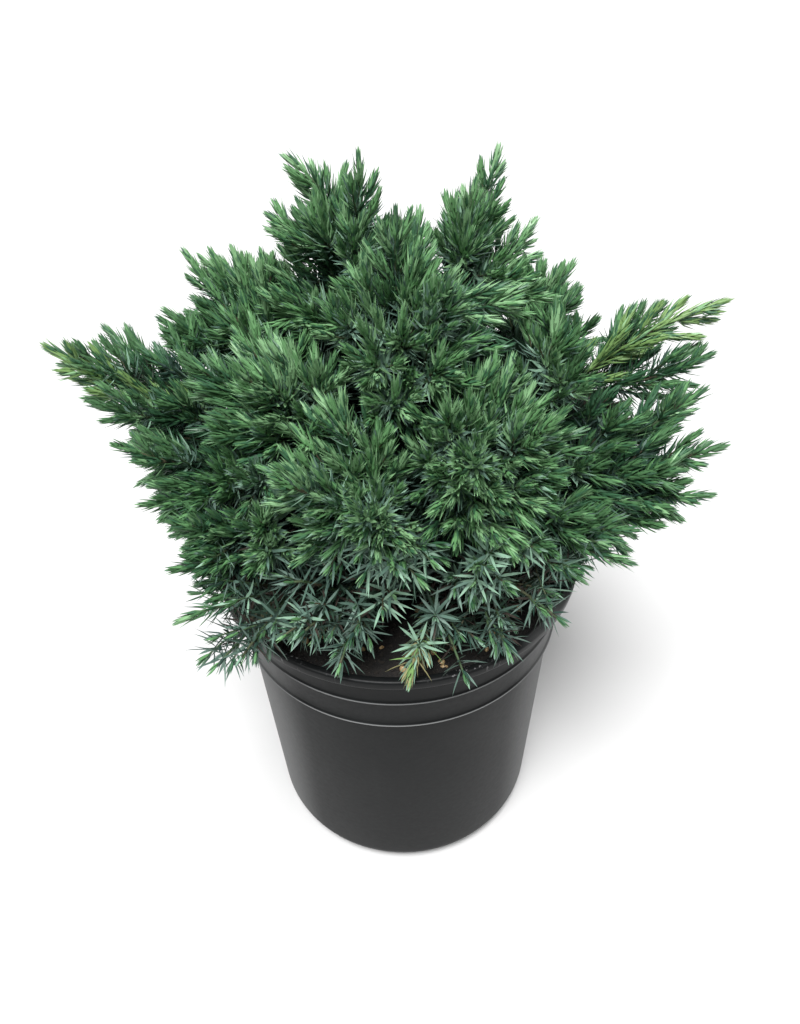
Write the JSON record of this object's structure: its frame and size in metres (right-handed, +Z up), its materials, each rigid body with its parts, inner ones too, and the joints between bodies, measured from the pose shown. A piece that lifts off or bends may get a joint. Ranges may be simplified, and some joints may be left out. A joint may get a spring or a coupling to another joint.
{
  "type": "potted blue star juniper",
  "caption": "Low mounded juniper shrub with dense blue-green needles on spreading boughs, growing in a round black plastic nursery pot.",
  "frame": {"origin": "centre of the pot's flat underside", "axes": "+Z up along the pot's axis; -Y is the front, the side that faces the viewer; +X is to the viewer's right"},
  "size_m": [0.2795, 0.2193, 0.3303],
  "materials": {
    "pot": "satin, lightly scuffed",
    "soil": "rough, crumbly",
    "bark": "rough, fibrous",
    "needles": "matte, waxy bloom"
  },
  "bodies": {
    "root": {"pot": "pot", "soil": "soil", "stem": "bark", "bough_left_tip": "bark", "foliage_left_tip": "needles", "bough_left": "bark", "foliage_left": "needles", "bough_front_left_mid": "bark", "foliage_front_left_mid": "needles", "bough_front_left_low": "bark", "foliage_front_left_low": "needles", "bough_front_low_left": "bark", "foliage_front_low_left": "needles", "bough_front_low_right": "bark", "foliage_front_low_right": "needles", "bough_front_right_low": "bark", "foliage_front_right_low": "needles", "bough_front_right_mid": "bark", "foliage_front_right_mid": "needles", "bough_right": "bark", "foliage_right": "needles", "bough_right_tip": "bark", "foliage_right_tip": "needles", "bough_back_right_mid": "bark", "foliage_back_right_mid": "needles", "bough_back_right_high": "bark", "foliage_back_right_high": "needles", "bough_back_mid": "bark", "foliage_back_mid": "needles", "bough_back_high": "bark", "foliage_back_high": "needles", "bough_back_left_mid": "bark", "foliage_back_left_mid": "needles", "bough_back_right_low": "bark", "foliage_back_right_low": "needles", "bough_back_low_right": "bark", "foliage_back_low_right": "needles", "bough_back_low_left": "bark", "foliage_back_low_left": "needles", "bough_back_left_low": "bark", "foliage_back_left_low": "needles", "bough_high_left": "bark", "foliage_high_left": "needles", "bough_high_front": "bark", "foliage_high_front": "needles", "bough_high_right": "bark", "foliage_high_right": "needles", "bough_top": "bark", "foliage_top": "needles"}
  },
  "joints": []
}
